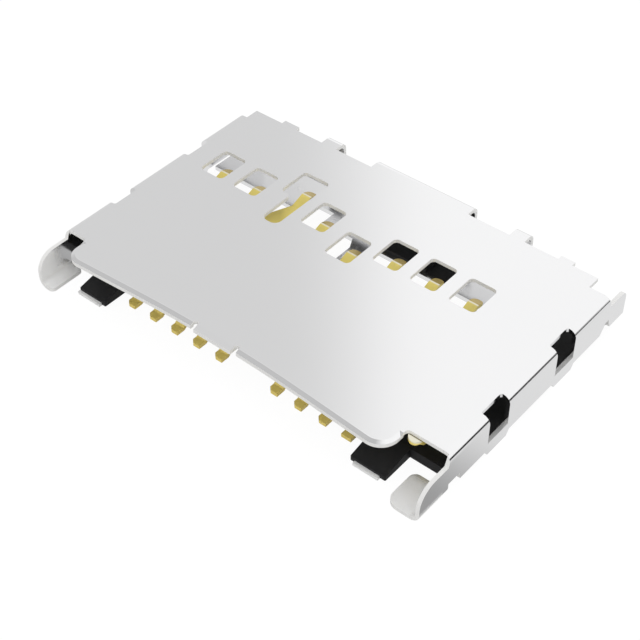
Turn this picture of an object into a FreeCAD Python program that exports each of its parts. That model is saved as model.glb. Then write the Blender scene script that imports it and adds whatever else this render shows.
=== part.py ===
import FreeCAD, Part
import math
import os
import types

import Sketcher

# Card connector, seen from above with the card entry at the front.
# X runs along the entry edge, Y from the entry to the rear, Z up from the board.
# The origin lies on the board, midway between the side walls, at the front ends of the tails.
# All lengths are in millimetres.

SIZES = {
    # folded cover
    "shell_width": 11.40,
    "shell_height": 1.15,
    "sheet_gauge": 0.10,
    "fold_radius": 0.20,
    "wall_clearance": 0.15,
    "wall_back": 7.11,
    "plate_back": 6.73,
    # curved front edge of the top plate, with a tongue between two slits
    "front_crown": 0.27,
    "front_sweep": 0.29,
    "front_curve_share": 0.52,
    "front_bend_run": 0.10,
    "front_bend_drop": 0.04,
    "right_lobe_radius": 0.48,
    "left_lobe_radius": 0.40,
    "right_notch_reach": 1.155,
    "left_notch_reach": 0.70,
    "right_notch_back": 0.24,
    "left_notch_back": 0.19,
    "notch_radius": 0.10,
    "slit_width": 0.13,
    "slit_back": 0.18,
    "tongue_middle": 0.385,
    "tongue_width": 1.10,
    "tongue_front": 0.40,
    # windows above the contact tips
    "window_width": 0.74,
    "window_front": 3.94,
    "window_back": 4.91,
    "window_radius": 0.12,
    "fifth_window_shift": 0.50,
    "third_window_width": 0.81,
    "third_window_front": 4.56,
    "third_window_back": 5.52,
    "stem_width": 0.49,
    "stem_front": 3.46,
    "stem_radius": 0.20,
    # openings across the side folds, and the feet below them
    "cutout_reach": 0.25,
    "cutout_length": 0.74,
    "cutout_floor": 0.37,
    "cutout_radius": 0.06,
    "front_cutout_middle": 1.93,
    "rear_cutout_middle": 4.51,
    "foot_length": 0.70,
    "foot_slope": 0.10,
    # ears in front of the side walls, with soldering flanges turned in
    "ear_reach": 0.845,
    "ear_height": 0.89,
    "ear_shoulder": 0.20,
    "ear_step": 0.10,
    "ear_radius": 0.50,
    "ear_back": 0.15,
    "ear_bend_radius": 0.25,
    "right_flange_width": 0.87,
    "left_flange_width": 0.43,
    "right_flange_front_radius": 0.28,
    "right_flange_back_radius": 0.18,
    "left_flange_radius": 0.12,
    "relief_length": 0.40,
    "relief_height": 0.35,
    "relief_slope": 0.03,
    "edge_notch_front": 6.08,
    "edge_notch_length": 0.42,
    "edge_notch_height": 0.43,
    "edge_notch_front_slope": 0.20,
    "edge_notch_back_slope": 0.11,
    # rear edge of the cover
    "shoulder_back": 6.34,
    "right_shoulder_width": 0.59,
    "left_shoulder_width": 0.29,
    "flat_tab_reach": 0.14,
    "left_flat_tab_middle": -4.28,
    "left_flat_tab_width": 0.48,
    "right_flat_tab_middle": 4.22,
    "right_flat_tab_width": 0.38,
    "rear_wall_back": 7.15,
    "rear_wall_clearance": 0.17,
    "left_rear_wall_middle": -2.93,
    "left_rear_wall_width": 0.48,
    "middle_rear_wall_middle": -0.045,
    "middle_rear_wall_width": 2.99,
    "right_rear_wall_middle": 2.87,
    "right_rear_wall_width": 0.42,
    "rear_end_height": 0.86,
    "rear_end_step": 0.04,
    "rear_end_radius": 0.20,
    # moulded housing
    "card_space": 0.75,
    "housing_lift": 0.03,
    "side_gap": 0.05,
    "housing_front": 0.46,
    "comb_front": 1.45,
    "comb_back": 4.10,
    "groove_width": 0.84,
    "groove_front": 2.15,
    "rail_width": 0.65,
    "left_rail_back": 4.60,
    "rear_bar_front": 6.55,
    "rear_bar_depth": 0.20,
    "ledge_left": -0.05,
    "ledge_step": 1.32,
    "ledge_right": 2.20,
    "ledge_front": 5.26,
    "ledge_drop": 0.10,
    "lip_reach": 0.40,
    "lip_front_height": 0.14,
    "lip_crest_height": 0.225,
    "lip_bevel": 0.02,
    "right_lip_gap": 0.335,
    "right_lip_width": 0.945,
    "left_lip_gap": 0.49,
    "left_lip_width": 0.87,
    # stamped base plate in the floor
    "base_gauge": 0.12,
    "base_front": 5.18,
    "base_hold": 0.15,
    "base_notch_back": 5.65,
    "base_tongue_left": -0.72,
    "base_tongue_width": 0.37,
    "base_gusset": 0.16,
    "base_gusset_length": 0.31,
    # spring contacts
    "contact_pitch": 1.10,
    "contact_middle": -0.63,
    "fifth_contact_offset": 0.07,
    "contact_gauge": 0.10,
    "tail_pitch": 0.70,
    "left_tails_middle": -2.06,
    "right_tails_middle": 2.065,
    "tail_width": 0.27,
    "tail_bevel": 0.08,
    "tail_foot": 0.20,
    "tail_rise": 0.16,
    "tail_straight": 0.62,
    "root_cover": 0.08,
    "root_back": 1.65,
    "jog_back": 1.45,
    "beam_width": 0.70,
    "beam_height": 0.74,
    "beam_fall": 0.02,
    "beam_level": 1.25,
    "beam_taper": 0.95,
    "neck_width": 0.28,
    "neck_length": 0.42,
    "tip_apex": 4.49,
    "tip_height": 0.87,
    "tip_length": 0.27,
    "tip_drop": 0.11,
    "third_tip_shift": 0.61,
    "fifth_tip_shift": -0.42,
    "contact_bend_radius": 0.12,
    # card detect spring
    "detect_notch_gap": 0.04,
    "detect_width": 0.34,
    "detect_back": 2.60,
    "detect_gap": 0.43,
    "detect_jog_back": 1.25,
    "detect_root_width": 0.40,
    "detect_tip_setback": 0.14,
    "detect_tip_drop": 0.05,
    "detect_tip_radius": 0.16,
    "detect_crest_setback": 0.06,
    "detect_crest_rise": 0.04,
    "detect_neck_setback": 0.05,
    "detect_neck_drop": 0.08,
    "detect_groove_front": 0.90,
    "detect_groove_gap": 0.08,
    # soldering strips under the front lips
    "nail_gauge": 0.08,
    "nail_front": 0.475,
    "nail_length": 0.375,
    "nail_barb": 0.14,
    "right_nail_shift": 0.01,
    "right_nail_width": 0.67,
    "left_nail_shift": 0.06,
    "left_nail_width": 0.73,
}

CONTACTS = 8
LEFT_TAILS = 5
OVERRUN = 1.0
# shares of a neighbouring size, so that a rounding always fits its edge
SLIT_ROUNDING = 0.45
TIP_ROUNDING = 0.9
ROUNDING_ROOM = 1.2
TAIL_LEAN = 0.25


class Size:
    """A length that keeps the expression it is worked out from."""

    def __init__(self, value, text):
        self.value = value
        self.text = text

    def __add__(self, other):
        other = as_size(other)
        return Size(self.value + other.value, f"({self.text} + {other.text})")

    def __sub__(self, other):
        other = as_size(other)
        return Size(self.value - other.value, f"({self.text} - {other.text})")

    def __mul__(self, other):
        other = as_size(other)
        return Size(self.value * other.value, f"({self.text} * {other.text})")

    def __truediv__(self, other):
        other = as_size(other)
        return Size(self.value / other.value, f"({self.text} / {other.text})")

    def __neg__(self):
        return Size(-self.value, f"(0 - {self.text})")


def as_size(number):
    """Gives a plain number the form of a size."""
    if isinstance(number, Size):
        return number
    return Size(number, str(number))


s = types.SimpleNamespace(**{name: Size(value, f"sizes.{name}") for name, value in SIZES.items()})

half = s.shell_width / 2
inside = half - s.sheet_gauge
plate_under = s.shell_height - s.sheet_gauge
floor_top = plate_under - s.card_space
fold_inset = half - s.cutout_reach
right_lip_middle = half - s.right_flange_width - s.right_lip_gap - s.right_lip_width / 2
left_lip_middle = -half + s.left_flange_width + s.left_lip_gap + s.left_lip_width / 2
detect_middle = half - s.right_notch_reach + s.detect_notch_gap + s.detect_width / 2
root_height = floor_top - s.contact_gauge - s.root_cover


def add_sizes(doc):
    """Writes the driving sizes into a sheet, one row each."""
    sheet = doc.addObject("Spreadsheet::Sheet", "sizes")
    for row, (name, value) in enumerate(SIZES.items(), start=1):
        sheet.set(f"A{row}", name)
        sheet.set(f"B{row}", str(value))
        sheet.setAlias(f"B{row}", name)
    doc.recompute()


def trace(sketch, corners):
    """Draws a closed outline through corners (across, along) or (across, along, radius)."""
    spots = [FreeCAD.Vector(as_size(c[0]).value, as_size(c[1]).value, 0) for c in corners]
    count = len(spots)
    starts = []
    ends = []
    for i, corner in enumerate(corners):
        before = (spots[i - 1] - spots[i]).normalize()
        after = (spots[(i + 1) % count] - spots[i]).normalize()
        cut = 0.0
        if len(corner) > 2:
            cut = as_size(corner[2]).value / math.tan(before.getAngle(after) / 2)
        ends.append(spots[i] + before * cut)
        starts.append(spots[i] + after * cut)

    lines = [
        sketch.addGeometry(Part.LineSegment(starts[i], ends[(i + 1) % count]), False)
        for i in range(count)
    ]
    rules = []
    bound = []
    for i, corner in enumerate(corners):
        line_in = lines[i - 1]
        line_out = lines[i]
        if len(corner) > 2:
            radius = as_size(corner[2])
            marker = sketch.addGeometry(Part.Point(spots[i]), True)
            turn = (spots[i] - spots[i - 1]).cross(spots[(i + 1) % count] - spots[i]).z
            outward = (ends[i] - spots[i]).normalize() + (starts[i] - spots[i]).normalize()
            reach = math.hypot(radius.value, (ends[i] - spots[i]).Length)
            centre = spots[i] + outward.normalize() * reach
            first, last = (ends[i], starts[i]) if turn > 0 else (starts[i], ends[i])
            angles = [math.atan2(p.y - centre.y, p.x - centre.x) for p in (first, last)]
            circle = Part.Circle(centre, FreeCAD.Vector(0, 0, 1), radius.value)
            arc = sketch.addGeometry(Part.ArcOfCircle(circle, *angles), False)
            arc_in, arc_out = (1, 2) if turn > 0 else (2, 1)
            rules += [
                Sketcher.Constraint("PointOnObject", marker, 1, line_in),
                Sketcher.Constraint("PointOnObject", marker, 1, line_out),
                Sketcher.Constraint("Tangent", line_in, 2, arc, arc_in),
                Sketcher.Constraint("Tangent", line_out, 1, arc, arc_out),
            ]
            bound.append((len(rules), radius))
            rules.append(Sketcher.Constraint("Radius", arc, radius.value))
            held = (marker, 1)
        else:
            rules.append(Sketcher.Constraint("Coincident", line_in, 2, line_out, 1))
            held = (line_out, 1)
        for kind, place in zip(("DistanceX", "DistanceY"), corner):
            place = as_size(place)
            bound.append((len(rules), place))
            rules.append(Sketcher.Constraint(kind, *held, place.value))
    numbers = sketch.addConstraint(rules)
    for index, place in bound:
        if "sizes." in place.text:
            sketch.setExpression(f"Constraints[{numbers[index]}]", place.text)


def draw(body, role, name, outlines, lift=None):
    """Makes a sketch on one of the body's own planes, lifted along the plane's normal."""
    sketch = body.newObject("Sketcher::SketchObject", name)
    plane = next(f for f in body.Origin.OriginFeatures if f.Role == role)
    sketch.AttachmentSupport = [(plane, "")]
    sketch.MapMode = "FlatFace"
    if lift is not None:
        sketch.setExpression("AttachmentOffset.Base.z", lift.text)
    for corners in outlines:
        trace(sketch, corners)
    return sketch


def pad(body, name, sketch, length, backwards=False, middle=False):
    """Raises a sketch into material."""
    feature = body.newObject("PartDesign::Pad", name)
    feature.Profile = sketch
    feature.setExpression("Length", length.text)
    feature.Reversed = backwards
    if middle:
        feature.SideType = "Symmetric"
    return feature


def pocket(body, name, sketch, depth=None, backwards=False):
    """Cuts a sketch out to a depth, or right through both ways where no depth is given."""
    feature = body.newObject("PartDesign::Pocket", name)
    feature.Profile = sketch
    feature.Reversed = backwards
    if depth is None:
        feature.Type = "ThroughAll"
        feature.SideType = "Symmetric"
    else:
        feature.setExpression("Length", depth.text)
    return feature


def new_body(doc, name):
    """Starts a piece that carries its own name."""
    body = doc.addObject("PartDesign::Body", name)
    body.Label = name
    return body


def rectangle(left, right, front, back, radius=None):
    """Corners of an upright rectangle, rounded where a radius is given."""
    corners = [(left, front), (right, front), (right, back), (left, back)]
    if radius is None:
        return corners
    return [(*corner, radius) for corner in corners]


def contact_place(index):
    """Middle of a contact beam, counted from the left: the fifth stands a little off the rest."""
    place = s.contact_middle + s.contact_pitch * (index - (CONTACTS - 1) / 2)
    if index == 4:
        return place + s.fifth_contact_offset
    return place


def tail_place(index):
    """Middle of a soldering tail: five stand left of the centre, four right of it."""
    if index < LEFT_TAILS:
        return s.left_tails_middle + s.tail_pitch * (index - (LEFT_TAILS - 1) / 2)
    right_tails = CONTACTS + 1 - LEFT_TAILS
    return s.right_tails_middle + s.tail_pitch * (index - LEFT_TAILS - (right_tails - 1) / 2)


def tip_place(index):
    """Distance of a contact's crest from the tails' front ends."""
    if index == 2:
        return s.tip_apex + s.third_tip_shift
    if index == 4:
        return s.tip_apex + s.fifth_tip_shift
    return s.tip_apex


def cut_both_walls(body, name, corners):
    """Cuts a side outline into the right and the left wall, as deep as the fold reaches."""
    right = draw(body, "YZ_Plane", f"{name}_right_outline", [corners], half)
    pocket(body, f"{name}_right", right, s.cutout_reach)
    left = draw(body, "YZ_Plane", f"{name}_left_outline", [corners], -half)
    pocket(body, f"{name}_left", left, s.cutout_reach, backwards=True)


def folded_sheet(body):
    """Top plate with both side walls, folded along the card's path."""
    fold_inner = s.fold_radius - s.sheet_gauge
    section = [
        (inside, 0),
        (half, 0),
        (half, s.shell_height, s.fold_radius),
        (-half, s.shell_height, s.fold_radius),
        (-half, 0),
        (-inside, 0),
        (-inside, plate_under, fold_inner),
        (inside, plate_under, fold_inner),
    ]
    outline = draw(body, "XZ_Plane", "sheet_section", [section], s.ear_reach)
    pad(body, "sheet", outline, s.wall_back + s.ear_reach, backwards=True)


def front_curve(inset):
    """Corners of the curved front edge between its two lobes, from the right to the left."""
    right_edge = half - s.right_notch_reach
    left_edge = -half + s.left_notch_reach
    lobe_front = -(s.front_crown + s.front_sweep) + inset
    crown = (right_edge + left_edge) / 2
    span = (right_edge - left_edge) / 2
    curve_radius = s.front_curve_share * span * span / s.front_sweep
    return [
        (right_edge - inset, lobe_front, s.right_lobe_radius - inset),
        (crown, -s.front_crown + inset, curve_radius),
        (left_edge + inset, lobe_front, s.left_lobe_radius - inset),
    ]


def front_edge(body):
    """Curved front edge between two rounded lobes, with a notch beside each ear."""
    curve = front_curve(as_size(0))
    right_edge = curve[0][0]
    left_edge = curve[-1][0]
    ahead = -s.ear_reach - OVERRUN
    corners = [
        (-inside, ahead),
        (inside, ahead),
        (inside, s.right_notch_back),
        (right_edge, s.right_notch_back, s.notch_radius),
        *curve,
        (left_edge, s.left_notch_back, s.notch_radius),
        (-inside, s.left_notch_back),
    ]
    outline = draw(body, "XY_Plane", "front_edge_outline", [corners], s.shell_height)
    pocket(body, "front_edge", outline, s.sheet_gauge + s.fold_radius)


def front_bend(body):
    """Bends the front edge of the plate and of its tongue a little down."""
    outer = front_curve(as_size(0))
    inner = front_curve(s.front_bend_run)
    under = [
        (outer[0][0], s.front_bend_run),
        *outer,
        (outer[-1][0], s.front_bend_run),
        (inner[-1][0], s.front_bend_run),
        *reversed(inner),
        (inner[0][0], s.front_bend_run),
    ]
    outline = draw(body, "XY_Plane", "front_bend_under_outline", [under], plate_under)
    pad(body, "front_bend_under", outline, s.front_bend_drop, backwards=True)
    middle = -s.tongue_middle
    tongue = rectangle(
        middle - s.tongue_width / 2,
        middle + s.tongue_width / 2,
        -s.tongue_front,
        -s.slit_back,
    )
    outline = draw(body, "XY_Plane", "tongue_bend_under_outline", [tongue], plate_under)
    pad(body, "tongue_bend_under", outline, s.front_bend_drop, backwards=True)
    ahead = -s.ear_reach - OVERRUN
    top = [
        (-inside, ahead),
        (inside, ahead),
        (inside, s.front_bend_run),
        (inner[0][0], s.front_bend_run),
        *inner,
        (inner[-1][0], s.front_bend_run),
        (-inside, s.front_bend_run),
    ]
    outline = draw(body, "XY_Plane", "front_bend_top_outline", [top], s.shell_height)
    slope = pocket(body, "front_bend_top", outline, s.front_bend_drop)
    slope.setExpression("TaperAngle", f"-atan({s.front_bend_run.text} / {s.front_bend_drop.text})")


def front_tongue(body):
    """Tongue that stands a little forward in the middle of the front edge."""
    middle = -s.tongue_middle
    tongue = rectangle(
        middle - s.tongue_width / 2,
        middle + s.tongue_width / 2,
        -s.tongue_front,
        -s.slit_back,
    )
    outline = draw(body, "XY_Plane", "front_tongue_outline", [tongue], plate_under)
    pad(body, "front_tongue", outline, s.sheet_gauge)


def front_slits(body):
    """Narrow slits on both sides of the tongue, round at their ends."""
    middle = -s.tongue_middle
    slits = []
    for side in (-1, 1):
        slit_middle = middle + (s.tongue_width + s.slit_width) / 2 * side
        slits.append(
            [
                (slit_middle - s.slit_width / 2, -s.ear_reach),
                (slit_middle + s.slit_width / 2, -s.ear_reach),
                (slit_middle + s.slit_width / 2, -s.slit_back, s.slit_width * SLIT_ROUNDING),
                (slit_middle - s.slit_width / 2, -s.slit_back, s.slit_width * SLIT_ROUNDING),
            ]
        )
    outline = draw(body, "XY_Plane", "front_slits_outline", slits, s.shell_height)
    pocket(body, "front_slits", outline, s.sheet_gauge + s.fold_radius)


def window_corners(index):
    """Outline of one window: the third runs on forward as a stem, the fifth sits ahead."""
    middle = contact_place(index)
    if index == 2:
        left = middle - s.third_window_width / 2
        right = middle + s.third_window_width / 2
        stem_left = right - s.stem_width
        return [
            (stem_left, s.stem_front, s.stem_radius),
            (right, s.stem_front, s.stem_radius),
            (right, s.third_window_back, s.window_radius),
            (left, s.third_window_back, s.window_radius),
            (left, s.third_window_front, s.window_radius),
            (stem_left, s.third_window_front, s.window_radius),
        ]
    left = middle - s.window_width / 2
    right = middle + s.window_width / 2
    if index == 4:
        front = s.window_front - s.fifth_window_shift
        back = s.window_back - s.fifth_window_shift
        return rectangle(left, right, front, back, s.window_radius)
    return rectangle(left, right, s.window_front, s.window_back, s.window_radius)


def windows(body):
    """Eight windows, one above each contact tip."""
    for index in range(CONTACTS):
        name = f"window_{index + 1}"
        corners = window_corners(index)
        outline = draw(body, "XY_Plane", f"{name}_outline", [corners], s.shell_height)
        pocket(body, name, outline, s.sheet_gauge + s.fold_radius)


def fold_cutouts(body):
    """Openings across both side folds, open from the top and down the wall."""
    outlines = []
    for middle in (s.front_cutout_middle, s.rear_cutout_middle):
        front = middle - s.cutout_length / 2
        back = middle + s.cutout_length / 2
        outlines.append(
            [
                (fold_inset, front, s.cutout_radius),
                (half + OVERRUN, front),
                (half + OVERRUN, back),
                (fold_inset, back, s.cutout_radius),
            ]
        )
        outlines.append(
            [
                (-fold_inset, back, s.cutout_radius),
                (-half - OVERRUN, back),
                (-half - OVERRUN, front),
                (-fold_inset, front, s.cutout_radius),
            ]
        )
    outline = draw(body, "XY_Plane", "cutout_outlines", outlines, s.shell_height)
    pocket(body, "cutouts", outline, s.shell_height - s.cutout_floor)


def wall_bottoms(body):
    """Lower edge of the side walls: a relief behind each ear, feet, and a notch near the rear."""
    below = as_size(-OVERRUN)
    corners = [
        (-s.ear_reach - OVERRUN, below),
        (-s.ear_reach - OVERRUN, s.ear_bend_radius),
        (s.ear_back, s.ear_bend_radius),
        (s.ear_back, s.relief_height),
        (s.ear_back + s.relief_length, s.relief_height),
        (s.ear_back + s.relief_length + s.relief_slope, s.wall_clearance),
    ]
    for middle in (s.front_cutout_middle, s.rear_cutout_middle):
        toe = s.foot_length / 2
        heel = toe + s.foot_slope
        corners += [
            (middle - heel, s.wall_clearance),
            (middle - toe, 0),
            (middle + toe, 0),
            (middle + heel, s.wall_clearance),
        ]
    notch_back = s.edge_notch_front + s.edge_notch_length
    corners += [
        (s.edge_notch_front, s.wall_clearance),
        (s.edge_notch_front + s.edge_notch_front_slope, s.edge_notch_height),
        (notch_back - s.edge_notch_back_slope, s.edge_notch_height),
        (notch_back, s.wall_clearance),
        (s.wall_back + OVERRUN, s.wall_clearance),
        (s.wall_back + OVERRUN, below),
    ]
    outline = draw(body, "YZ_Plane", "wall_bottom_outline", [corners])
    pocket(body, "wall_bottoms", outline)


def ear_tops(body):
    """Rounded top edge of both ears, stepped down from the plate."""
    above = s.shell_height + OVERRUN
    corners = [
        (s.ear_shoulder, above),
        (s.ear_shoulder, s.shell_height),
        (s.ear_shoulder - s.ear_step, s.ear_height),
        (-s.ear_reach, s.ear_height, s.ear_radius),
        (-s.ear_reach, s.ear_bend_radius),
        (-s.ear_reach - OVERRUN, s.ear_bend_radius),
        (-s.ear_reach - OVERRUN, above),
    ]
    cut_both_walls(body, "ear_top", corners)


def rear_ends(body):
    """Low rear ends of both side walls, with a rounded corner."""
    above = s.shell_height + OVERRUN
    below_corner = s.rear_end_height - s.rear_end_radius * ROUNDING_ROOM
    corners = [
        (s.shoulder_back, above),
        (s.shoulder_back, s.shell_height),
        (s.shoulder_back + s.rear_end_step, s.rear_end_height),
        (s.wall_back, s.rear_end_height, s.rear_end_radius),
        (s.wall_back, below_corner),
        (s.wall_back + OVERRUN, below_corner),
        (s.wall_back + OVERRUN, above),
    ]
    cut_both_walls(body, "rear_end", corners)


def rear_edge(body):
    """Rear edge of the plate, with a shoulder at each side and two short flat tabs."""
    inner = fold_inset + (s.cutout_reach - s.fold_radius)
    tab_back = s.plate_back + s.flat_tab_reach
    left_tab = s.left_flat_tab_middle
    right_tab = s.right_flat_tab_middle
    corners = [
        (-inner, s.shoulder_back),
        (-half + s.left_shoulder_width, s.shoulder_back),
        (-half + s.left_shoulder_width, s.plate_back),
        (left_tab - s.left_flat_tab_width / 2, s.plate_back),
        (left_tab - s.left_flat_tab_width / 2, tab_back),
        (left_tab + s.left_flat_tab_width / 2, tab_back),
        (left_tab + s.left_flat_tab_width / 2, s.plate_back),
        (right_tab - s.right_flat_tab_width / 2, s.plate_back),
        (right_tab - s.right_flat_tab_width / 2, tab_back),
        (right_tab + s.right_flat_tab_width / 2, tab_back),
        (right_tab + s.right_flat_tab_width / 2, s.plate_back),
        (half - s.right_shoulder_width, s.plate_back),
        (half - s.right_shoulder_width, s.shoulder_back),
        (inner, s.shoulder_back),
        (inner, s.wall_back + OVERRUN),
        (-inner, s.wall_back + OVERRUN),
    ]
    outline = draw(body, "XY_Plane", "rear_edge_outline", [corners], s.shell_height)
    pocket(body, "rear_edge", outline, s.sheet_gauge + s.fold_radius)


def rear_walls(body):
    """Three tabs turned down behind the plate."""
    fold_inner = s.fold_radius - s.sheet_gauge
    front = s.shoulder_back
    corners = [
        (front, plate_under),
        (s.rear_wall_back - s.sheet_gauge, plate_under, fold_inner),
        (s.rear_wall_back - s.sheet_gauge, s.rear_wall_clearance),
        (s.rear_wall_back, s.rear_wall_clearance),
        (s.rear_wall_back, s.shell_height, s.fold_radius),
        (front, s.shell_height),
    ]
    tabs = {
        "left": (s.left_rear_wall_middle, s.left_rear_wall_width),
        "middle": (s.middle_rear_wall_middle, s.middle_rear_wall_width),
        "right": (s.right_rear_wall_middle, s.right_rear_wall_width),
    }
    for name, (middle, width) in tabs.items():
        outline = draw(body, "YZ_Plane", f"{name}_rear_wall_section", [corners], middle)
        pad(body, f"{name}_rear_wall", outline, width, middle=True)


def ear_flange(body, name, side, width, front_radius, back_radius):
    """Rolled lower edge of one ear, and the flange that lies on the board."""
    outer = half * side
    bend = (half - s.ear_bend_radius) * side
    inner = (half - width) * side
    seam = (half - width + front_radius) * side
    overlap = s.ear_bend_radius + s.sheet_gauge
    roll = [
        (seam, 0),
        (outer, 0, s.ear_bend_radius),
        (outer, overlap),
        (outer - s.sheet_gauge * side, overlap),
        (outer - s.sheet_gauge * side, s.sheet_gauge, s.ear_bend_radius - s.sheet_gauge),
        (seam, s.sheet_gauge),
    ]
    outline = draw(body, "XZ_Plane", f"{name}_roll_section", [roll], s.ear_reach)
    pad(body, f"{name}_roll", outline, s.ear_reach + s.ear_back, backwards=True)
    flange = [
        (bend, -s.ear_reach),
        (inner, -s.ear_reach, front_radius),
        (inner, s.ear_back, back_radius),
        (bend, s.ear_back),
    ]
    outline = draw(body, "XY_Plane", f"{name}_flange_outline", [flange])
    pad(body, f"{name}_flange", outline, s.sheet_gauge)


def make_shell(doc):
    """Cover folded from one sheet."""
    body = new_body(doc, "shell")
    folded_sheet(body)
    front_edge(body)
    front_tongue(body)
    front_bend(body)
    front_slits(body)
    windows(body)
    fold_cutouts(body)
    wall_bottoms(body)
    ear_tops(body)
    rear_ends(body)
    rear_edge(body)
    rear_walls(body)
    ear_flange(
        body,
        "right",
        1,
        s.right_flange_width,
        s.right_flange_front_radius,
        s.right_flange_back_radius,
    )
    ear_flange(body, "left", -1, s.left_flange_width, s.left_flange_radius, s.left_flange_radius)
    return body


def make_base_plate(doc):
    """Flat metal plate behind the contact tips, with a tongue and a notch for the third tip."""
    body = new_body(doc, "base_plate")
    third = contact_place(2)
    tongue_right = s.base_tongue_left + s.base_tongue_width
    tongue_front = s.comb_back - s.base_hold
    left = -(inside - s.side_gap)
    right = inside - s.side_gap - s.rail_width + s.base_hold
    back = s.rear_bar_front + s.rear_bar_depth
    corners = [
        (left, s.base_front),
        (third - s.groove_width / 2, s.base_front),
        (third - s.groove_width / 2, s.base_notch_back),
        (third + s.groove_width / 2, s.base_notch_back),
        (third + s.groove_width / 2, s.base_front),
        (s.base_tongue_left - s.base_gusset, s.base_front),
        (s.base_tongue_left, s.base_front - s.base_gusset_length),
        (s.base_tongue_left, tongue_front),
        (tongue_right, tongue_front),
        (tongue_right, s.base_front),
        (right, s.base_front),
        (right, back),
        (left, back),
    ]
    outline = draw(body, "XY_Plane", "plate_outline", [corners], s.housing_lift)
    pad(body, "plate", outline, s.base_gauge)
    return body


def strip_profile(apex):
    """Side view of a contact: foot, rise to the root, sprung beam, neck and crest."""
    gauge = s.contact_gauge
    root_top = root_height + gauge
    lean = s.tail_rise * TAIL_LEAN
    tip_end = apex + s.tip_length
    tip_low = s.tip_height - s.tip_drop
    level_start = apex - s.beam_level
    neck = apex - s.neck_length
    neck_top = s.beam_height - s.beam_fall
    bend = s.contact_bend_radius
    return [
        (0, 0),
        (s.tail_foot + lean, 0, bend / 2),
        (s.tail_foot + lean + s.tail_rise, root_height, bend / 2),
        (s.root_back, root_height, bend),
        (level_start, s.beam_height - gauge, bend),
        (neck, neck_top - gauge, bend),
        (apex, s.tip_height - gauge, bend),
        (tip_end, tip_low - gauge),
        (tip_end, tip_low),
        (apex, s.tip_height, bend),
        (neck, neck_top, bend),
        (level_start, s.beam_height, bend),
        (s.root_back, root_top, bend),
        (s.tail_foot + s.tail_rise, root_top, bend / 2),
        (s.tail_foot, gauge, bend / 2),
        (0, gauge),
    ]


def strip_plan(tail, beam, apex):
    """Plan view of a contact: tail, slanted run, tapering beam and rounded tip."""
    tail_half = s.tail_width / 2
    beam_half = s.beam_width / 2
    neck_half = s.neck_width / 2
    tip_end = apex + s.tip_length
    tip_radius = neck_half * TIP_ROUNDING
    taper = apex - s.beam_taper
    neck = apex - s.neck_length
    return [
        (tail - tail_half + s.tail_bevel, 0),
        (tail + tail_half, 0),
        (tail + tail_half, s.tail_straight),
        (beam + beam_half, s.jog_back),
        (beam + beam_half, taper),
        (beam + neck_half, neck),
        (beam + neck_half, tip_end, tip_radius),
        (beam - neck_half, tip_end, tip_radius),
        (beam - neck_half, neck),
        (beam - beam_half, taper),
        (beam - beam_half, s.jog_back),
        (tail - tail_half, s.tail_straight),
        (tail - tail_half, s.tail_bevel),
    ]


def make_contact(doc, index):
    """One spring contact, cut from a bent strip to its plan outline."""
    name = f"contact_{index + 1}"
    body = new_body(doc, name)
    tail = tail_place(index)
    beam = contact_place(index)
    apex = tip_place(index)
    middle = (tail + beam) / 2
    sway = beam - tail
    if sway.value < 0:
        sway = -sway
    blank_width = sway + s.beam_width * 2
    outline = draw(body, "YZ_Plane", f"{name}_profile", [strip_profile(apex)], middle)
    pad(body, f"{name}_strip", outline, blank_width, middle=True)
    around = rectangle(
        middle - blank_width,
        middle + blank_width,
        as_size(-OVERRUN),
        apex + s.tip_length + OVERRUN,
    )
    plan = strip_plan(tail, beam, apex)
    outline = draw(body, "XY_Plane", f"{name}_plan", [around, plan])
    pocket(body, f"{name}_trim", outline)
    return body


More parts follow.
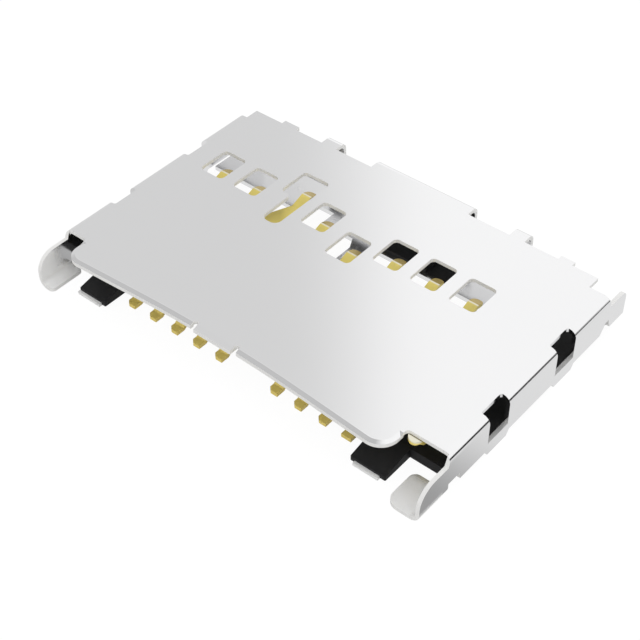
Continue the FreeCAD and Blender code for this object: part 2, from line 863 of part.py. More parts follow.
def make_detect_contact(doc):
    """Card detect spring: tail, flat root that turns back, and a beam that rises to the notch."""
    body = new_body(doc, "detect_contact")
    tail = tail_place(CONTACTS)
    tail_half = s.tail_width / 2
    root_half = s.detect_root_width / 2
    beam_half = s.detect_width / 2
    run = contact_place(CONTACTS - 1) + s.beam_width / 2 + s.detect_gap + root_half
    gauge = s.contact_gauge
    root_top = root_height + gauge
    lean = s.tail_rise * TAIL_LEAN
    bend = s.contact_bend_radius
    foot = [
        (0, 0),
        (s.tail_foot + lean, 0, bend / 2),
        (s.tail_foot + lean + s.tail_rise, root_height, bend / 2),
        (s.tail_straight, root_height),
        (s.tail_straight, root_top),
        (s.tail_foot + s.tail_rise, root_top, bend / 2),
        (s.tail_foot, gauge, bend / 2),
        (0, gauge),
    ]
    outline = draw(body, "YZ_Plane", "detect_foot_section", [foot], tail)
    pad(body, "detect_foot", outline, s.tail_width, middle=True)
    root = [
        (tail - tail_half, s.tail_straight - s.tail_rise / 2),
        (tail + tail_half, s.tail_straight - s.tail_rise / 2),
        (tail + tail_half, s.tail_straight),
        (run + root_half, s.detect_jog_back),
        (run + root_half, s.detect_back - root_half),
        (detect_middle + beam_half, s.detect_back - root_half),
        (detect_middle + beam_half, s.detect_back + root_half, s.contact_gauge),
        (run - root_half, s.detect_back + root_half, s.contact_gauge),
        (run - root_half, s.detect_jog_back),
        (tail - tail_half, s.tail_straight),
    ]
    outline = draw(body, "XY_Plane", "detect_root_outline", [root], root_height)
    pad(body, "detect_root", outline, gauge)
    crest = s.right_notch_back - s.detect_crest_setback
    crest_height = plate_under + s.detect_crest_rise
    neck = s.right_notch_back + s.detect_neck_setback
    neck_height = plate_under - s.detect_neck_drop
    tip = s.right_notch_back - s.detect_tip_setback
    tip_height = crest_height - s.detect_tip_drop
    beam = [
        (s.detect_back, root_height),
        (s.detect_back, root_top, bend / 2),
        (neck, neck_height, bend / 2),
        (crest, crest_height, gauge / 2),
        (tip, tip_height),
        (tip, tip_height - gauge),
        (crest, crest_height - gauge, gauge / 2),
        (neck, neck_height - gauge, bend / 2),
        (s.detect_back - s.detect_root_width / 2, root_height, bend / 2),
    ]
    outline = draw(body, "YZ_Plane", "detect_beam_section", [beam], detect_middle)
    pad(body, "detect_beam", outline, s.detect_width, middle=True)
    tip_back = tip + s.detect_width
    around_tip = [
        (detect_middle - s.detect_width, tip - OVERRUN),
        (detect_middle + s.detect_width, tip - OVERRUN),
        (detect_middle + s.detect_width, tip_back),
        (detect_middle + beam_half, tip_back),
        (detect_middle + beam_half, tip, s.detect_tip_radius),
        (detect_middle - beam_half, tip, s.detect_tip_radius),
        (detect_middle - beam_half, tip_back),
        (detect_middle - s.detect_width, tip_back),
    ]
    outline = draw(body, "XY_Plane", "detect_tip_outline", [around_tip], s.shell_height)
    pocket(body, "detect_tip_round", outline, s.shell_height)
    return body


def make_nail(doc, name, middle, width):
    """Soldering strip under a front lip, with a barb turned up into it."""
    body = new_body(doc, name)
    back = -s.nail_front + s.nail_length
    corners = [
        (-s.nail_front, 0),
        (back, 0),
        (back, s.nail_barb),
        (back - s.nail_gauge, s.nail_barb),
        (back - s.nail_gauge, s.nail_gauge),
        (-s.nail_front, s.nail_gauge),
    ]
    outline = draw(body, "YZ_Plane", f"{name}_section", [corners], middle)
    pad(body, f"{name}_strip", outline, width, middle=True)
    return body


def front_lip(body, name, middle, width):
    """Sloped lip that stands in front of the housing."""
    corners = [
        (-s.lip_reach, s.housing_lift),
        (s.housing_front, s.housing_lift),
        (s.housing_front, floor_top),
        (0, s.lip_crest_height),
        (-s.lip_reach, s.lip_front_height),
    ]
    outline = draw(body, "YZ_Plane", f"{name}_section", [corners], middle)
    pad(body, name, outline, width, middle=True)
    bevels = []
    for side in (-1, 1):
        corner = middle + width / 2 * side
        bevels.append(
            [
                (corner, -s.lip_reach + s.lip_bevel),
                (corner - s.lip_bevel * side, -s.lip_reach),
                (corner, -s.lip_reach - OVERRUN),
                (corner + side * OVERRUN, -s.lip_reach - OVERRUN),
            ]
        )
    outline = draw(body, "XY_Plane", f"{name}_bevel_outlines", bevels, s.shell_height)
    pocket(body, f"{name}_bevels", outline, s.shell_height)


def make_housing(doc, inserts):
    """Moulded frame, with the metal pieces set into it."""
    body = doc.addObject("PartDesign::Body", "housing_moulding")
    side = inside - s.side_gap
    left_arm = left_lip_middle + s.left_lip_width / 2
    right_arm = right_lip_middle - s.right_lip_width / 2
    bar_back = s.rear_bar_front + s.rear_bar_depth
    frame = [
        (-side, s.housing_front),
        (left_arm, s.housing_front),
        (left_arm, s.comb_front),
        (right_arm, s.comb_front),
        (right_arm, s.housing_front),
        (side, s.housing_front),
        (side, bar_back),
        (side - s.rail_width, bar_back),
        (side - s.rail_width, s.comb_back),
        (-side + s.rail_width, s.comb_back),
        (-side + s.rail_width, s.left_rail_back),
        (-side, s.left_rail_back),
    ]
    outline = draw(body, "XY_Plane", "frame_outline", [frame], s.housing_lift)
    pad(body, "frame", outline, floor_top - s.housing_lift)
    front_lip(body, "right_lip", right_lip_middle, s.right_lip_width)
    front_lip(body, "left_lip", left_lip_middle, s.left_lip_width)
    plate_top = s.housing_lift + s.base_gauge
    bar = rectangle(-side, side, s.rear_bar_front, bar_back)
    outline = draw(body, "XY_Plane", "rear_bar_outline", [bar], plate_top)
    pad(body, "rear_bar", outline, floor_top - plate_top)
    ledge = rectangle(s.ledge_left, s.ledge_right, s.ledge_front, bar_back)
    outline = draw(body, "XY_Plane", "ledge_outline", [ledge], plate_top)
    pad(body, "ledge", outline, floor_top - plate_top)
    recess = rectangle(
        s.ledge_step,
        s.ledge_right + OVERRUN,
        s.ledge_front - OVERRUN,
        s.rear_bar_front,
    )
    outline = draw(body, "XY_Plane", "ledge_recess_outline", [recess], floor_top)
    pocket(body, "ledge_recess", outline, s.ledge_drop)
    grooves = [
        rectangle(
            contact_place(index) - s.groove_width / 2,
            contact_place(index) + s.groove_width / 2,
            s.groove_front,
            s.comb_back + OVERRUN,
        )
        for index in range(CONTACTS)
    ]
    outline = draw(body, "XY_Plane", "groove_outlines", grooves)
    pocket(body, "grooves", outline)
    detect_half = s.detect_width / 2 + s.detect_groove_gap
    detect_groove = rectangle(
        detect_middle - detect_half,
        detect_middle + detect_half,
        s.detect_groove_front,
        s.detect_back - s.detect_root_width / 2,
    )
    outline = draw(body, "XY_Plane", "detect_groove_outline", [detect_groove])
    pocket(body, "detect_groove", outline)
    tools = doc.addObject("Part::Compound", "inserts")
    tools.Links = inserts
    housing = doc.addObject("Part::Cut", "housing")
    housing.Base = body
    housing.Tool = tools
    housing.Label = "housing"
    return housing


def check(doc, pieces):
    """Stops where anything failed to build, or a cut removed nothing."""
    for item in doc.Objects:
        if "Invalid" in item.State or "Error" in item.State:
            raise RuntimeError(f"{item.Name} failed: {item.State}")
        if item.TypeId == "PartDesign::Pocket":
            if item.Shape.Volume >= item.BaseFeature.Shape.Volume:
                raise RuntimeError(f"{item.Name} cuts nothing")
    for piece in pieces:
        if piece.Shape.isNull() or not piece.Shape.isValid():
            raise RuntimeError(f"{piece.Label} has no valid shape")


def main():
    """Builds every piece and writes one file for each."""
    doc = FreeCAD.newDocument("card_connector")
    add_sizes(doc)
    contacts = [make_contact(doc, index) for index in range(CONTACTS)]
    detect = make_detect_contact(doc)
    base_plate = make_base_plate(doc)
    nails = [
        make_nail(doc, "nail_right", right_lip_middle - s.right_nail_shift, s.right_nail_width),
        make_nail(doc, "nail_left", left_lip_middle - s.left_nail_shift, s.left_nail_width),
    ]
    inserts = [*contacts, detect, base_plate, *nails]
    housing = make_housing(doc, inserts)
    shell = make_shell(doc)
    doc.recompute()
    pieces = [shell, housing, *inserts]
    check(doc, pieces)
    os.makedirs("parts", exist_ok=True)
    for piece in pieces:
        piece.Shape.exportStep(f"parts/{piece.Label}.step")
        print(piece.Label, round(piece.Shape.Volume, 4), len(piece.Shape.Solids))


main()
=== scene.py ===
import math

import bpy
from mathutils import Matrix, Vector

bl_info = {
    "name": "Card connector finishes",
    "version": (1, 0, 0),
    "blender": (4, 5, 0),
    "location": "3D View > Sidebar > Connector",
    "description": "Steel, plastic and plated finishes for a folded card connector, with its stage",
    "category": "Material",
}

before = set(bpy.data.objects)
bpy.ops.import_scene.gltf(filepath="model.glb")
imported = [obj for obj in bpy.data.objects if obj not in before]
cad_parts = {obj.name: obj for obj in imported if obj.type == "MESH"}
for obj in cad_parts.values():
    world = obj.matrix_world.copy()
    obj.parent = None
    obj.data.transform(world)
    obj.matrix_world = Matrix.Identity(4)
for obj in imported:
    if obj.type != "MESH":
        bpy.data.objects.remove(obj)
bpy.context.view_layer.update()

MILLIMETRE = 0.001
PICTURE_SIDE = 640
SENSOR_WIDTH = 36.0
CAMERA_REACH = 10.0
WHITE = (1.0, 1.0, 1.0, 1.0)

# Each pair below is where a soft step starts and ends. Places are in millimetres: across from the
# middle, along from the tails' front ends, and up from the board.

# The cover
PLATE_HEIGHT = (0.99, 1.004)
FOLD_PLACE = (5.44, 5.49)
WALL_INSIDE = (5.595, 5.6)
BELOW_FOLD = (0.9, 0.95)
REAR_TABS = (7.0, 7.04)
CUTOUTS_INNER = (5.3, 5.35)
CUTOUTS_FRONT = (0.8, 1.0)
CUTOUTS_BACK = (6.0, 6.3)
FLANGE_TOP = (0.15, 0.35)
FLANGE_BACK = (-0.1, 0.0)
# Where the ears' tin finish, with its painted light, reaches
EAR_TOP = (0.85, 0.95)
EAR_BACK = (-0.5, -0.05)
FLANGE_TIN_REACH = 0.4
MOUTH_BACK = (0.4, 0.9)
TONGUE_MIDDLE = -0.385
TONGUE_SIDE = (0.595, 0.635)

# Which way a face of the cover looks: steps in one number of its direction
STANDING = (0.35, 0.6)
SIDEWAYS = (0.4, 0.6)
# Faces of the front bend that get painted shade
BENT_FORWARD = (0.2, 0.35)
BENT_UP = (0.6, 0.8)
INWARD = (0.05, 0.3)
UNDERSIDE = (-0.7, -0.5)

# The contacts: places, then which way their faces look, then the clouds that thin the plating
TAIL_BACK = (0.3, 0.6)
# Heights of the painted highlight on the ridges, and of the rubbed crests with their painted
# highlight
RIDGE_HEIGHT = (0.82, 0.84)
CREST_HEIGHT = (0.98, 1.04)
# Faces behind a crest that get a painted reflection
BACK_SLOPE = (0.05, 0.3)
BACK_UP = (0.2, 0.5)
RIDGE_SLOPE = (0.05, 0.3)
RIDGE_UP = (0.6, 0.9)
THIN_PLATING = (0.35, 0.75)

# Noise: how many finer layers it has, how strong each is to the one before, and its middle
FEW_LAYERS = 2.0
MANY_LAYERS = 3.0
SOFT = 0.5
CRISP = 0.6
NOISE_MIDDLE = 0.5

# How often clouds repeat per millimetre, and a grain across, along and up
COVER_CLOUDS = 0.45
HOUSING_CLOUDS = 1.3
CONTACT_CLOUDS = 2.2
SMALL_METAL_CLOUDS = 1.5
HOUSING_GRAIN = 38.0
ROLLED_GRAIN = (3.0, 90.0, 90.0)
SHEARED_GRAIN = (60.0, 60.0, 4.0)
MOULDED_GRAIN = (14.0, 4.0, 14.0)
DRAWN_GRAIN = (70.0, 5.0, 70.0)
STAMPED_GRAIN = (4.0, 60.0, 60.0)

# Height of a grain in millimetres, and how much higher a torn edge stands than a rolled face
COVER_RELIEF = 0.0006
HOUSING_RELIEF = 0.0015
CONTACT_RELIEF = 0.0008
SMALL_METAL_RELIEF = 0.0008
TORN_RELIEF = 3

# What noise makes of a colour, as a share of it
CLOUDED_STEEL = 0.985
TORN_EDGE = 0.9
DARK_PLASTIC = 0.8
LIGHT_PLASTIC = 1.35
CLOUDED_METAL = 0.95

# How far noise sways a finish, and how far tails and clouds lower the metal share
COVER_ROUGHNESS_SWAY = 0.05
HOUSING_ROUGHNESS_SWAY = 0.2
CONTACT_ROUGHNESS_SWAY = 0.08
SMALL_METAL_ROUGHNESS_SWAY = 0.1
CONTACT_METAL_SWAY = 0.2
TAIL_METAL_LOSS = 0.8
CLOUD_METAL_LOSS = 0.1
PLASTIC_SPECULAR = 0.22

# The light: steps in the numbers of a direction, or in the cosine from the dark patch's middle
LEFT_LIGHT = (0.56, 0.67)
FRONT_LIGHT = (0.1, 0.8)
DARK_AZIMUTH = 33
DARK_SIDES = (0.975, 0.997)
DARK_BOTTOM = (-0.01, 0.01)
DARK_TOP = (0.17, 0.215)
DARK_DEPTH = 0.97

# Keeps the division sound where a direction points straight up
LEAST_LEVEL = 0.001

# The floor that metal mirrors, in steps along and across, and the white that the camera sees
FLOOR_FIRST_STEP = (-0.3, 2.4)
FLOOR_SECOND_STEP = (2.4, 5.5)
FLOOR_FIRST_SHARE = 0.93
FLOOR_DARK_PLACE = (10.5, 11.5)
FLOOR_WHITE = 1.05


# Shader maths


class Signal:
    """One output of a node, with the operators that shader maths needs."""

    def __init__(self, graph, socket):
        self.graph = graph
        self.socket = socket

    def maths(self, operation, *others):
        """Adds a Math node that takes this output first."""
        sockets = dict(enumerate((self, *others)))
        return self.graph.signal("ShaderNodeMath", {"operation": operation}, sockets)

    def __add__(self, other):
        return self.maths("ADD", other)

    __radd__ = __add__

    def __sub__(self, other):
        return self.maths("SUBTRACT", other)

    def __rsub__(self, other):
        return self.graph.signal("ShaderNodeMath", {"operation": "SUBTRACT"}, {0: other, 1: self})

    def __mul__(self, other):
        return self.maths("MULTIPLY", other)

    def __truediv__(self, other):
        return self.maths("DIVIDE", other)

    def __abs__(self):
        return self.maths("ABSOLUTE")

    def rise(self, low, high):
        """0 below low, 1 above high, and a smooth step between them."""
        settings = {"interpolation_type": "SMOOTHSTEP"}
        sockets = {"Value": self, "From Min": low, "From Max": high}
        return self.graph.signal("ShaderNodeMapRange", settings, sockets)

    def fall(self, low, high):
        """1 below low, 0 above high."""
        return 1 - self.rise(low, high)

    def sway(self, amount):
        """Noise made to vary about zero, by half the amount each way."""
        return (self - NOISE_MIDDLE) * amount


class Graph:
    """The nodes of one material or of the world."""

    def __init__(self, tree):
        self.tree = tree
        self.tree.nodes.clear()

    def add(self, kind, settings=None, sockets=None):
        """Adds a node: its settings first, then the values or links of its sockets."""
        node = self.tree.nodes.new(kind)
        for name, value in (settings or {}).items():
            setattr(node, name, value)
        for name, value in (sockets or {}).items():
            if isinstance(value, Signal):
                self.tree.links.new(value.socket, node.inputs[name])
            else:
                node.inputs[name].default_value = value
        return node

    def signal(self, kind, settings=None, sockets=None, output=0):
        """Adds a node and gives one of its outputs."""
        return Signal(self, self.add(kind, settings, sockets).outputs[output])

    def parts(self, vector):
        """The three numbers of a vector."""
        node = self.add("ShaderNodeSeparateXYZ", None, {0: vector})
        return [Signal(self, socket) for socket in node.outputs]

    def place(self):
        """Place on the piece, in millimetres."""
        spot = self.signal("ShaderNodeTexCoord", output="Object")
        settings = {"operation": "SCALE"}
        return self.signal("ShaderNodeVectorMath", settings, {0: spot, "Scale": 1 / MILLIMETRE})

    def facing(self):
        """Direction in which the surface faces."""
        return self.parts(self.signal("ShaderNodeNewGeometry", output="Normal"))

    def noise(self, vector, repeats, layers, strength=SOFT):
        """Cloudy noise from 0 to 1."""
        sockets = {"Vector": vector, "Scale": repeats, "Detail": layers, "Roughness": strength}
        return self.signal("ShaderNodeTexNoise", None, sockets, "Fac")

    def grain(self, vector, repeats, layers, strength=SOFT):
        """Noise that repeats at its own rate in each direction."""
        settings = {"operation": "MULTIPLY"}
        drawn_out = self.signal("ShaderNodeVectorMath", settings, {0: vector, 1: repeats})
        return self.noise(drawn_out, 1.0, layers, strength)

    def mix(self, factor, first, second):
        """One colour turning into another: in colour mode, inputs 6 and 7 and output 2."""
        settings = {"data_type": "RGBA"}
        sockets = {0: factor, 6: opaque(first), 7: opaque(second)}
        return self.signal("ShaderNodeMix", settings, sockets, 2)

    def bump(self, height, strength, depth):
        """Direction of a surface that a height roughens, with its depth in millimetres."""
        sockets = {"Height": height, "Strength": strength, "Distance": depth * MILLIMETRE}
        return self.signal("ShaderNodeBump", None, sockets)


def opaque(tint):
    """A colour with its fourth number, or the link as it is."""
    if isinstance(tint, Signal):
        return tint
    return (*tint, 1.0)


def scaled(tint, amount):
    """A colour made darker by an amount under 1, or lighter by one over 1."""
    return [part * amount for part in tint]


def new_material(name):
    """An empty procedural material."""
    material = bpy.data.materials.new(name)
    material.use_nodes = True
    return material, Graph(material.node_tree)


def finish_surface(graph, sockets):
    """Closes a material with one principled surface."""
    surface = graph.signal("ShaderNodeBsdfPrincipled", None, sockets)
    graph.add("ShaderNodeOutputMaterial", None, {"Surface": surface})


def dress(names, material):
    """Puts a material on the named pieces."""
    for name in names:
        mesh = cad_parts[name].data
        mesh.materials.clear()
        mesh.materials.append(material)


# Values that a user would change


def length(label, about, default):
    """A length that is not negative."""
    return bpy.props.FloatProperty(
        name=label, description=about, default=default, min=0.0, unit="LENGTH", precision=6
    )


def share(label, about, default, top=1.0):
    """A share from 0 to its top."""
    return bpy.props.FloatProperty(
        name=label, description=about, default=default, min=0.0, max=top, subtype="FACTOR"
    )


def colour(label, about, default):
    """A colour of three numbers."""
    return bpy.props.FloatVectorProperty(
        name=label, description=about, default=default, min=0.0, max=1.0, size=3, subtype="COLOR"
    )


class CoverFinish(bpy.types.PropertyGroup):
    """Finish of the folded cover"""

    steel: colour("Steel", "Colour of the rolled sheet", (0.90, 0.90, 0.905))
    sheared: colour("Sheared edge", "Colour of the cut edges", (0.97, 0.965, 0.95))
    # Painted shade: a darker colour on the front bend's faces that look forward and up
    painted_bend_shade: colour("Bent edge", "Colour of the front edge's bend", (0.74, 0.74, 0.745))
    # Tin finish with painted light: its lighter colour brightens the shaded inner faces of the ears
    # and the underside at the mouth
    tin_and_painted_light: colour("Tinned ear", "Colour of the ears' tinned inner faces", (0.96, 0.96, 0.955))
    roughness: share("Roughness", "How matt the rolled faces are", 0.12)
    matt_roughness: share("Matt roughness", "How matt cut edges and tinned ears are", 0.35)
    matt_share: share("Matt share", "How far cut edges and tinned ears turn matt", 0.95)
    foot_share: share("Foot share", "How matt the edges below the side openings are", 0.5)
    grain_depth: share("Grain depth", "Strength of the rolling grain", 0.05)


class HousingFinish(bpy.types.PropertyGroup):
    """Finish of the moulded housing"""

    plastic: colour("Plastic", "Colour of the moulding", (0.020, 0.020, 0.021))
    roughness: share("Roughness", "How matt the moulding is", 0.5)
    grain_depth: share("Grain depth", "Strength of the mould's grain", 0.25)


class ContactFinish(bpy.types.PropertyGroup):
    """Finish of the plated contacts"""

    gold: colour("Gold", "Colour of the plating", (0.92, 0.76, 0.20))
    worn_gold: colour("Thin gold", "Colour where the plating is thin", (0.82, 0.69, 0.20))
    # Flash plating with painted light: a lighter colour on the tails, which lie in the cover's
    # shade
    flash_and_painted_light: colour("Pale gold", "Colour of the flash on the tails", (1.0, 0.80, 0.22))
    # Painted reflection: a darker colour on the tips' slopes that look back, standing for the black
    # housing they mirror
    painted_dark_reflection: colour("Dark gold", "Colour behind the crest of a tip", (0.56, 0.42, 0.12))
    # Rubbed plating and a painted highlight: light on the tips' ridges and on the crests
    rubbed_and_highlight: colour("Rubbed crest", "Colour of the crests that cards rub", (0.97, 0.93, 0.76))
    roughness: share("Roughness", "How matt the plating is", 0.2)
    metal_share: share("Metal share", "How far the plating mirrors", 0.35)
    grain_depth: share("Grain depth", "Strength of the drawing grain", 0.12)


class SmallMetalFinish(bpy.types.PropertyGroup):
    """Finish of the base plate and the soldering strips"""

    plate: colour("Base plate", "Colour of the stamped plate", (0.93, 0.93, 0.935))
    plate_roughness: share("Plate roughness", "How matt the stamped plate is", 0.12)
    plate_metal: share("Plate metal share", "How far the stamped plate mirrors", 1.0)
    tin: colour("Tin", "Colour of the soldering strips", (0.97, 0.97, 0.965))
    tin_roughness: share("Tin roughness", "How matt the tin is", 0.35)
    tin_metal: share("Tin metal share", "How far the tin mirrors", 0.1)
    grain_depth: share("Grain depth", "Strength of the stamping grain", 0.15)


class StageValues(bpy.types.PropertyGroup):
    """Camera, light and floor"""

    camera_place: bpy.props.FloatVectorProperty(
        name="Camera place",
        description="Where the camera stands",
        default=(0.0153626, -0.0153469, 0.0221234),
        size=3,
        subtype="TRANSLATION",
        unit="LENGTH",
        precision=6,
    )
    azimuth: bpy.props.FloatProperty(
        name="Azimuth",
        description="Turn of the view about the upright",
        default=math.radians(40.16056),
        subtype="ANGLE",
    )
    elevation: bpy.props.FloatProperty(
        name="Elevation",
        description="Height of the view above the horizon",
        default=math.radians(43.42552),
        subtype="ANGLE",
    )
    roll: bpy.props.FloatProperty(
        name="Roll",
        description="Tilt of the picture",
        default=math.radians(-0.42333),
        subtype="ANGLE",
    )
    focal_share: bpy.props.FloatProperty(
        name="Focal length",
        description="Focal length over the picture's side",
        default=1369.583 / PICTURE_SIDE,
    )
    floor_side: length("Floor side", "Length of the floor's side", 0.6)
    floor_colour: colour("Floor", "Colour of the floor", (0.88, 0.88, 0.88))
    floor_front: share("Floor shine in front", "White that metal sees in front", 0.36)
    floor_rear: share("Floor shine at the rear", "White that metal sees at the rear", 0.80)
    shadow: share("Shadow", "How much of its shadow the floor shows", 0.10)
    bright: share("Bright side", "Light from the right and the rear", 1.02, 4.0)
    dim: share("Dim side", "Light from the left", 0.71, 4.0)
    front: share("Front side", "Light from the front, as a share of the bright side", 0.88, 4.0)


# Pieces


class CONNECTOR_OT_dress_cover(bpy.types.Operator):
    """Rolled steel on the cover, with sheared edges"""

    bl_idname = "connector.dress_cover"
    bl_label = "Dress the cover"

    def execute(self, context):
        values = context.scene.cover_finish
        material, graph = new_material("rolled_cover_steel")
        spot = graph.place()
        across, along, up = graph.parts(spot)
        side = abs(across)
        east, north, above = graph.facing()
        upright = abs(above).fall(*STANDING)
        in_plate = up.rise(*PLATE_HEIGHT) * side.fall(*FOLD_PLACE)
        in_wall = side.rise(*FOLD_PLACE)
        in_rear_tabs = along.rise(*REAR_TABS) * side.fall(*FOLD_PLACE)
        wall_end = abs(north).rise(*SIDEWAYS) * in_wall
        foot = side.rise(*WALL_INSIDE) * up.fall(*BELOW_FOLD) * (1 - upright)
        wall_edge = wall_end.maths("MAXIMUM", foot)
        tab_edge = abs(east).rise(*SIDEWAYS) * in_rear_tabs
        low = up.fall(*FLANGE_TOP)
        flange_edge = upright * low * along.fall(*FLANGE_BACK)
        cut = (in_plate * upright).maths("MAXIMUM", wall_edge).maths("MAXIMUM", tab_edge)
        cut = cut.maths("MAXIMUM", flange_edge)
        in_cutout = side.rise(*CUTOUTS_INNER)
        in_cutout = in_cutout * along.rise(*CUTOUTS_FRONT) * along.fall(*CUTOUTS_BACK)
        cut = cut * (1 - in_cutout * (1 - foot * values.foot_share))
        beside_tongue = abs(across - TONGUE_MIDDLE).rise(*TONGUE_SIDE)
        # Painted shade on the front bend, on its faces that look forward and up beside the tongue
        painted_bend_shade = up.rise(*PLATE_HEIGHT) * (0 - north).rise(*BENT_FORWARD) * above.rise(*BENT_UP)
        painted_bend_shade = painted_bend_shade * beside_tongue
        inward = (0 - east * across / side).maths("MAXIMUM", above).rise(*INWARD)
        # The ears' inner faces and the underside at the mouth: a tin finish, and painted light
        # where they lie in shade
        in_ear = (along - low * FLANGE_TIN_REACH).fall(*EAR_BACK) * up.fall(*EAR_TOP)
        tin_and_painted_light = in_ear * inward
        mouth = above.fall(*UNDERSIDE) * along.fall(*MOUTH_BACK)
        matt = cut.maths("MAXIMUM", tin_and_painted_light).maths("MAXIMUM", mouth)
        clouds = graph.noise(spot, COVER_CLOUDS, MANY_LAYERS)
        grain = graph.grain(spot, ROLLED_GRAIN, MANY_LAYERS, CRISP)
        tears = graph.grain(spot, SHEARED_GRAIN, FEW_LAYERS)
        steel = graph.mix(clouds, scaled(values.steel, CLOUDED_STEEL), values.steel)
        # A lighter colour there: painted light
        steel = graph.mix(tin_and_painted_light.maths("MAXIMUM", mouth), steel, values.tin_and_painted_light)
        # The front bend darker: painted shade
        steel = graph.mix(painted_bend_shade, steel, values.painted_bend_shade)
        sheared = graph.mix(tears, scaled(values.sheared, TORN_EDGE), values.sheared)
        height = grain * (1 - cut) + tears * cut * TORN_RELIEF
        sockets = {
            "Base Color": graph.mix(cut, steel, sheared),
            "Metallic": 1 - matt * values.matt_share,
            "Roughness": values.roughness
            + grain.sway(COVER_ROUGHNESS_SWAY)
            + matt * (values.matt_roughness - values.roughness),
            "Normal": graph.bump(height, values.grain_depth, COVER_RELIEF),
        }
        finish_surface(graph, sockets)
        dress(["shell"], material)
        return {"FINISHED"}


class CONNECTOR_OT_dress_housing(bpy.types.Operator):
    """Black moulded plastic on the housing"""

    bl_idname = "connector.dress_housing"
    bl_label = "Dress the housing"

    def execute(self, context):
        values = context.scene.housing_finish
        material, graph = new_material("moulded_housing_plastic")
        spot = graph.place()
        clouds = graph.noise(spot, HOUSING_CLOUDS, FEW_LAYERS)
        fibres = graph.grain(spot, MOULDED_GRAIN, MANY_LAYERS, CRISP)
        grain = graph.noise(spot, HOUSING_GRAIN, MANY_LAYERS, CRISP)
        dark = scaled(values.plastic, DARK_PLASTIC)
        light = scaled(values.plastic, LIGHT_PLASTIC)
        sockets = {
            "Base Color": graph.mix(clouds * fibres, dark, light),
            "Roughness": values.roughness + fibres.sway(HOUSING_ROUGHNESS_SWAY),
            "Specular IOR Level": PLASTIC_SPECULAR,
            "Normal": graph.bump(grain, values.grain_depth, HOUSING_RELIEF),
        }
        finish_surface(graph, sockets)
        dress(["housing"], material)
        return {"FINISHED"}


class CONNECTOR_OT_dress_contacts(bpy.types.Operator):
    """Gold plating on the contacts and the card detect spring"""

    bl_idname = "connector.dress_contacts"
    bl_label = "Dress the contacts"

    def execute(self, context):
        values = context.scene.contact_finish
        material, graph = new_material("gold_plating")
        spot = graph.place()
        _, along, up = graph.parts(spot)
        _, north, above = graph.facing()
        tail = along.fall(*TAIL_BACK)
        # Painted reflection on the tips' slopes that look back
        behind = north.rise(*BACK_SLOPE) * above.rise(*BACK_UP) * (1 - tail)
        # Painted highlight along the tips' ridges, and rubbed plating with a painted highlight on
        # the crests
        ridge_highlight = abs(north).fall(*RIDGE_SLOPE) * above.rise(*RIDGE_UP) * up.rise(*RIDGE_HEIGHT)
        crest = up.rise(*CREST_HEIGHT)
        clouds = graph.noise(spot, CONTACT_CLOUDS, MANY_LAYERS)
        drawn = graph.grain(spot, DRAWN_GRAIN, FEW_LAYERS, CRISP)
        plating = graph.mix(clouds.rise(*THIN_PLATING), values.gold, values.worn_gold)
        # The tails lighter: flash plating, and painted light in the cover's shade
        plating = graph.mix(tail, plating, values.flash_and_painted_light)
        # The back slopes darker: painted reflection
        plating = graph.mix(behind, plating, values.painted_dark_reflection)
        # The ridges and crests lighter: painted highlight, with rubbed plating on the crests
        plating = graph.mix(ridge_highlight, plating, values.rubbed_and_highlight)
        plating = graph.mix(crest, plating, values.rubbed_and_highlight)
        metal = values.metal_share + clouds.sway(CONTACT_METAL_SWAY)
        sockets = {
            "Base Color": plating,
            "Metallic": metal * (1 - tail * TAIL_METAL_LOSS),
            "Roughness": values.roughness + drawn.sway(CONTACT_ROUGHNESS_SWAY),
            "Normal": graph.bump(drawn, values.grain_depth, CONTACT_RELIEF),
        }
        finish_surface(graph, sockets)
        names = [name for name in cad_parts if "contact" in name]
        dress(names, material)
        return {"FINISHED"}


class CONNECTOR_OT_dress_small_metal(bpy.types.Operator):
    """Steel on the base plate, and tin on the soldering strips"""

    bl_idname = "connector.dress_small_metal"
    bl_label = "Dress the small metal"

    def execute(self, context):
        values = context.scene.small_metal_finish
        steel = (values.plate, values.plate_roughness, values.plate_metal)
        tin = (values.tin, values.tin_roughness, values.tin_metal)
        for name, (tint, roughness, metal), pieces in (
            ("base_plate_steel", steel, ["base_plate"]),
            ("solder_tin", tin, ["nail_right", "nail_left"]),
        ):
            material, graph = new_material(name)
            spot = graph.place()
            clouds = graph.noise(spot, SMALL_METAL_CLOUDS, MANY_LAYERS)
            grain = graph.grain(spot, STAMPED_GRAIN, MANY_LAYERS, CRISP)
            sockets = {
                "Base Color": graph.mix(clouds, scaled(tint, CLOUDED_METAL), tint),
                "Metallic": metal - clouds * CLOUD_METAL_LOSS,
                "Roughness": roughness + grain.sway(SMALL_METAL_ROUGHNESS_SWAY),
                "Normal": graph.bump(grain, values.grain_depth, SMALL_METAL_RELIEF),
            }
            finish_surface(graph, sockets)
            dress(pieces, material)
        return {"FINISHED"}


# Stage


def direction(azimuth):
    """Level direction at an angle from +X, in degrees."""
    return math.cos(math.radians(azimuth)), math.sin(math.radians(azimuth))


def make_camera(context, values):
    """Camera at the picture's viewpoint."""
    turn = values.azimuth
    tilt = values.elevation
    back = Vector(
        (math.sin(turn) * math.cos(tilt), -math.cos(turn) * math.cos(tilt), math.sin(tilt))
    )
    level_right = Vector((0, 0, 1)).cross(back).normalized()
    level_up = back.cross(level_right)
    right = level_right * math.cos(values.roll) + level_up * math.sin(values.roll)
    up = level_up * math.cos(values.roll) - level_right * math.sin(values.roll)
    data = bpy.data.cameras.new("camera")
    data.sensor_width = SENSOR_WIDTH
    data.lens = values.focal_share * SENSOR_WIDTH
    data.clip_start = MILLIMETRE
    data.clip_end = CAMERA_REACH
    camera = bpy.data.objects.new("camera", data)
    context.scene.collection.objects.link(camera)
    camera.matrix_world = Matrix.Translation(values.camera_place) @ (
        Matrix((right, up, back)).transposed().to_4x4()
    )
    context.scene.camera = camera


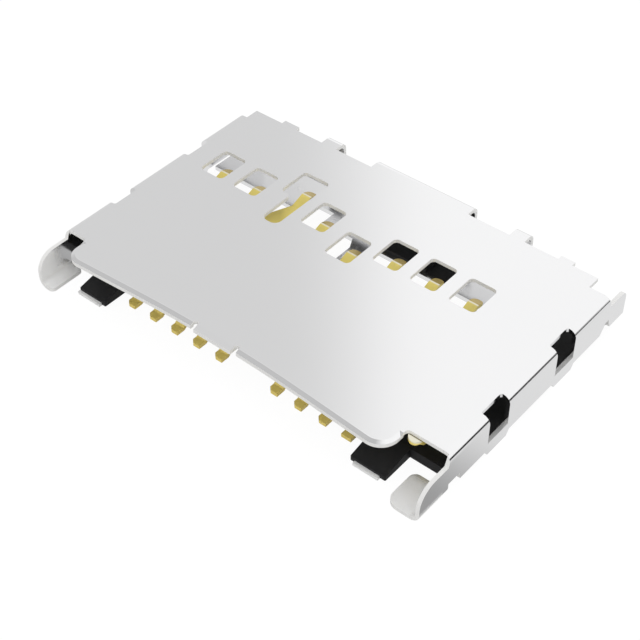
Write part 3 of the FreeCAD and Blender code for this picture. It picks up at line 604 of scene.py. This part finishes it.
def make_world(context, values):
    """Soft studio light, dimmer from the left and the front, dark near the floor on the right."""
    world = bpy.data.worlds.new("studio")
    context.scene.world = world
    world.use_nodes = True
    graph = Graph(world.node_tree)
    east, north, height = graph.parts(graph.signal("ShaderNodeTexCoord", output="Generated"))
    level = (east * east + north * north).maths("SQRT").maths("MAXIMUM", LEAST_LEVEL)
    from_left = (0 - east / level).rise(*LEFT_LIGHT)
    patch_east, patch_north = direction(DARK_AZIMUTH)
    towards_patch = (east * patch_east + north * patch_north) / level
    patch = towards_patch.rise(*DARK_SIDES) * height.rise(*DARK_BOTTOM) * height.fall(*DARK_TOP)
    from_front = (0 - north / level).rise(*FRONT_LIGHT)
    light = values.bright + from_left * (values.dim - values.bright)
    light = light * (1 - from_front * (1 - values.front))
    light = light * (1 - patch * DARK_DEPTH)
    rays = graph.add("ShaderNodeLightPath")
    seen = Signal(graph, rays.outputs["Is Camera Ray"])
    lit = graph.signal("ShaderNodeBackground", None, {"Color": light, "Strength": 1.0})
    white = graph.signal("ShaderNodeBackground", None, {"Color": WHITE, "Strength": 1.0})
    shown = graph.signal("ShaderNodeMixShader", None, {0: seen, 1: lit, 2: white})
    graph.add("ShaderNodeOutputWorld", None, {"Surface": shown})


def make_floor(values):
    """Pale floor: white with some of its shadow, dark to metal far on the right, open below."""
    bpy.ops.object.select_all(action="DESELECT")
    bpy.ops.mesh.primitive_plane_add(size=values.floor_side, location=(0, 0, 0))
    floor = bpy.context.object
    floor.name = "floor"
    material, graph = new_material("pale_floor")
    matt = graph.signal("ShaderNodeBsdfDiffuse", None, {"Color": opaque(values.floor_colour)})
    across, along, _ = graph.parts(graph.place())
    step = along.rise(*FLOOR_FIRST_STEP) * FLOOR_FIRST_SHARE
    step = step + along.rise(*FLOOR_SECOND_STEP) * (1 - FLOOR_FIRST_SHARE)
    shine = values.floor_front + step * (values.floor_rear - values.floor_front)
    shine = shine * (1 - across.rise(*FLOOR_DARK_PLACE) * DARK_DEPTH)
    white = graph.signal("ShaderNodeEmission", None, {"Color": WHITE, "Strength": FLOOR_WHITE})
    mirrored = graph.signal("ShaderNodeEmission", None, {"Color": shine, "Strength": 1.0})
    clear = graph.signal("ShaderNodeBsdfTransparent")
    rays = graph.add("ShaderNodeLightPath")
    seen = Signal(graph, rays.outputs["Is Camera Ray"])
    in_metal = Signal(graph, rays.outputs["Is Glossy Ray"])
    below = graph.signal("ShaderNodeNewGeometry", output="Backfacing")
    shown = graph.signal(
        "ShaderNodeMixShader", None, {0: seen * (1 - values.shadow), 1: matt, 2: white}
    )
    shown = graph.signal("ShaderNodeMixShader", None, {0: in_metal, 1: shown, 2: mirrored})
    shown = graph.signal("ShaderNodeMixShader", None, {0: below, 1: shown, 2: clear})
    graph.add("ShaderNodeOutputMaterial", None, {"Surface": shown})
    floor.data.materials.append(material)


class CONNECTOR_OT_build_stage(bpy.types.Operator):
    """Camera, soft light and a pale floor"""

    bl_idname = "connector.build_stage"
    bl_label = "Build the stage"

    def execute(self, context):
        values = context.scene.stage_values
        context.scene.view_settings.view_transform = "Standard"
        make_camera(context, values)
        make_world(context, values)
        make_floor(values)
        return {"FINISHED"}


VALUE_GROUPS = {
    "cover_finish": CoverFinish,
    "housing_finish": HousingFinish,
    "contact_finish": ContactFinish,
    "small_metal_finish": SmallMetalFinish,
    "stage_values": StageValues,
}

OPERATORS = (
    CONNECTOR_OT_dress_cover,
    CONNECTOR_OT_dress_housing,
    CONNECTOR_OT_dress_contacts,
    CONNECTOR_OT_dress_small_metal,
    CONNECTOR_OT_build_stage,
)


class CONNECTOR_PT_finishes(bpy.types.Panel):
    """Lists the steps and their values"""

    bl_idname = "CONNECTOR_PT_finishes"
    bl_label = "Connector"
    bl_space_type = "VIEW_3D"
    bl_region_type = "UI"
    bl_category = "Connector"

    def draw(self, context):
        for operator in OPERATORS:
            self.layout.operator(operator.bl_idname)
        for name, group in VALUE_GROUPS.items():
            box = self.layout.box()
            for value in group.__annotations__:
                box.prop(getattr(context.scene, name), value)


def register():
    """Adds the values, the steps and the panel to Blender."""
    for group in VALUE_GROUPS.values():
        bpy.utils.register_class(group)
    for kind in (*OPERATORS, CONNECTOR_PT_finishes):
        bpy.utils.register_class(kind)
    for name, group in VALUE_GROUPS.items():
        setattr(bpy.types.Scene, name, bpy.props.PointerProperty(type=group))


def unregister():
    """Takes them out again."""
    for name in VALUE_GROUPS:
        delattr(bpy.types.Scene, name)
    for kind in reversed((*VALUE_GROUPS.values(), *OPERATORS, CONNECTOR_PT_finishes)):
        bpy.utils.unregister_class(kind)


def main():
    """Runs every step on the loaded part."""
    register()
    bpy.ops.connector.dress_cover()
    bpy.ops.connector.dress_housing()
    bpy.ops.connector.dress_contacts()
    bpy.ops.connector.dress_small_metal()
    bpy.ops.connector.build_stage()


if __name__ == "__main__":
    main()
